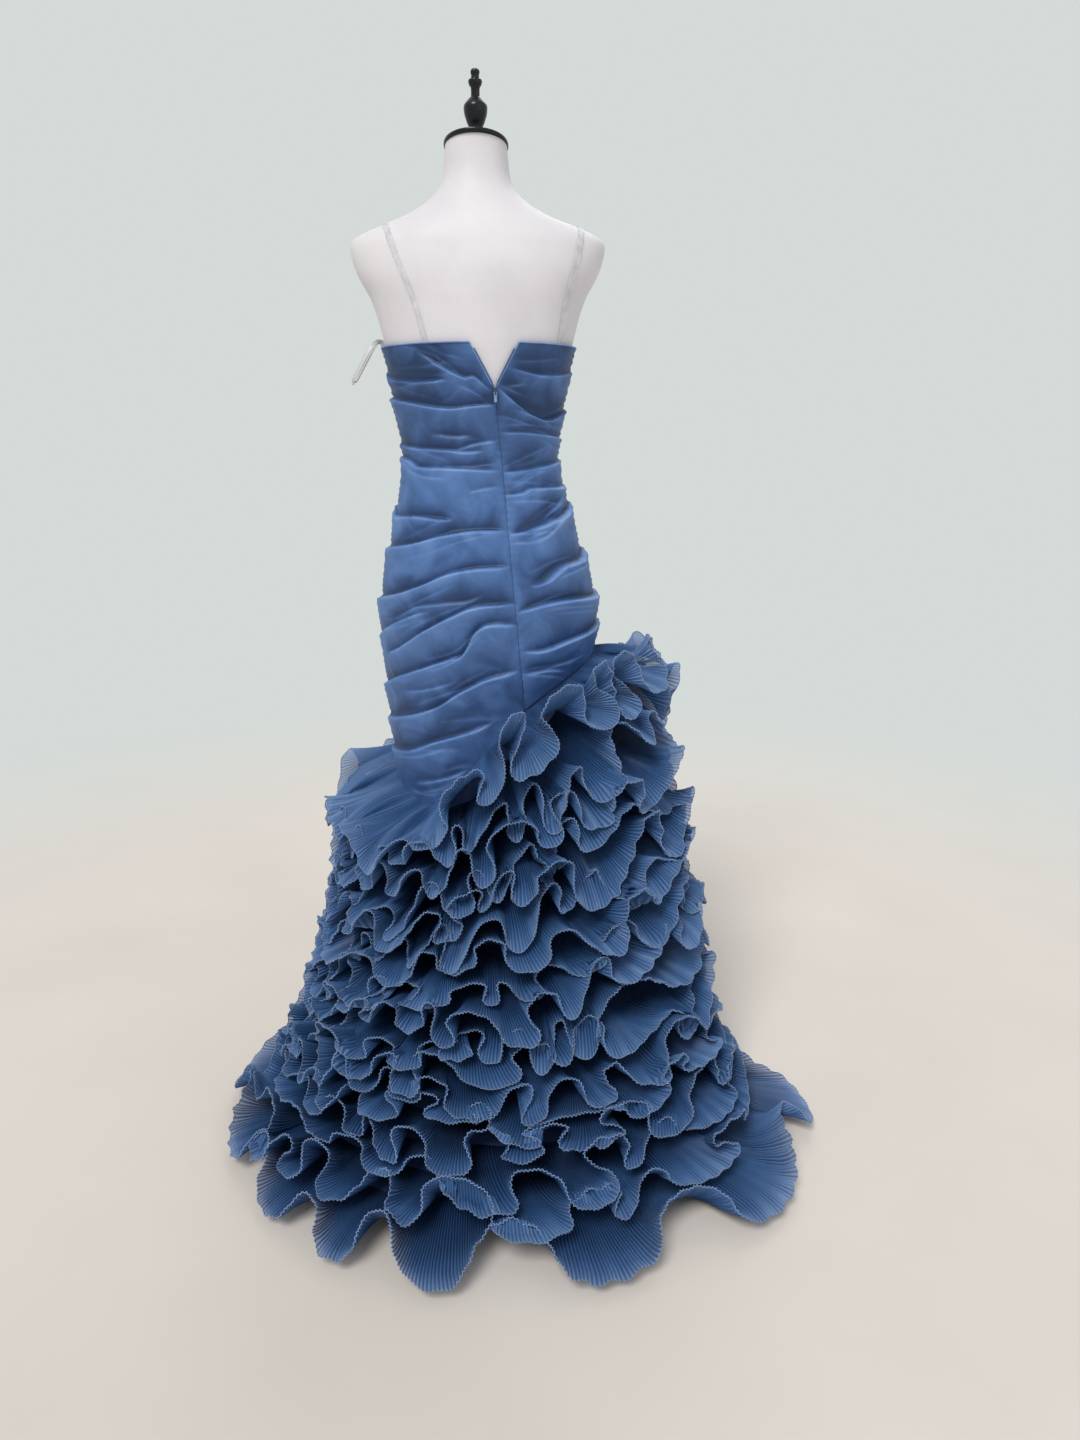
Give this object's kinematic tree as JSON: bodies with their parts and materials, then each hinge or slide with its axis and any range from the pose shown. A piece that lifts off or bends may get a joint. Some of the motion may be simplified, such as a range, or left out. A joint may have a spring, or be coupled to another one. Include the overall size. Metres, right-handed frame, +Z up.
{
  "type": "sheath prom dress on a dress form",
  "caption": "Strapless ruched mermaid gown with pleated ruffle tiers and a train, on a limbless dress form with a round foot.",
  "frame": {"origin": "centre of the stand's flat underside, under the form's axis", "axes": "+Z up, -Y towards the back of the gown (zip and train), +X towards the wearer's right"},
  "size_m": [0.9087, 0.9145, 1.5645],
  "materials": {
    "sheath_organza": "satin",
    "pleated_organza": "satin",
    "underskirt_cloth": "matt",
    "zip_tape": "matt",
    "zip_metal": "satin",
    "clear_plastic": "gloss",
    "white_ribbon": "satin",
    "form_skin": "satin",
    "gloss_black_wood": "gloss",
    "black_steel": "satin"
  },
  "bodies": {
    "gown_and_form": {"back_panel_left": "sheath_organza", "back_panel_right": "sheath_organza", "front_panel": "sheath_organza", "zip_tape_left": "zip_tape", "zip_tape_right": "zip_tape", "zip_slider": "zip_metal", "strap_left": "clear_plastic", "strap_right": "clear_plastic", "hanger_ribbon": "white_ribbon", "underskirt": "underskirt_cloth", "ruffle_1": "pleated_organza", "ruffle_2": "pleated_organza", "ruffle_3": "pleated_organza", "ruffle_4": "pleated_organza", "ruffle_5": "pleated_organza", "ruffle_6": "pleated_organza", "ruffle_7": "pleated_organza", "ruffle_8": "pleated_organza", "ruffle_9": "pleated_organza", "form_body": "form_skin", "neck_cap": "gloss_black_wood", "finial": "gloss_black_wood", "stand_pole": "black_steel", "stand_base": "black_steel"},
    "pull_tab": {"zip_pull_tab": "zip_metal"}
  },
  "joints": [
    {"name": "pull_tab_swing", "type": "hinge", "parent": "gown_and_form", "child": "pull_tab", "pos_m": [0.02836, -0.09882, 1.119], "axis": [-1, 0, 0], "range_deg": [0, 150]}
  ]
}
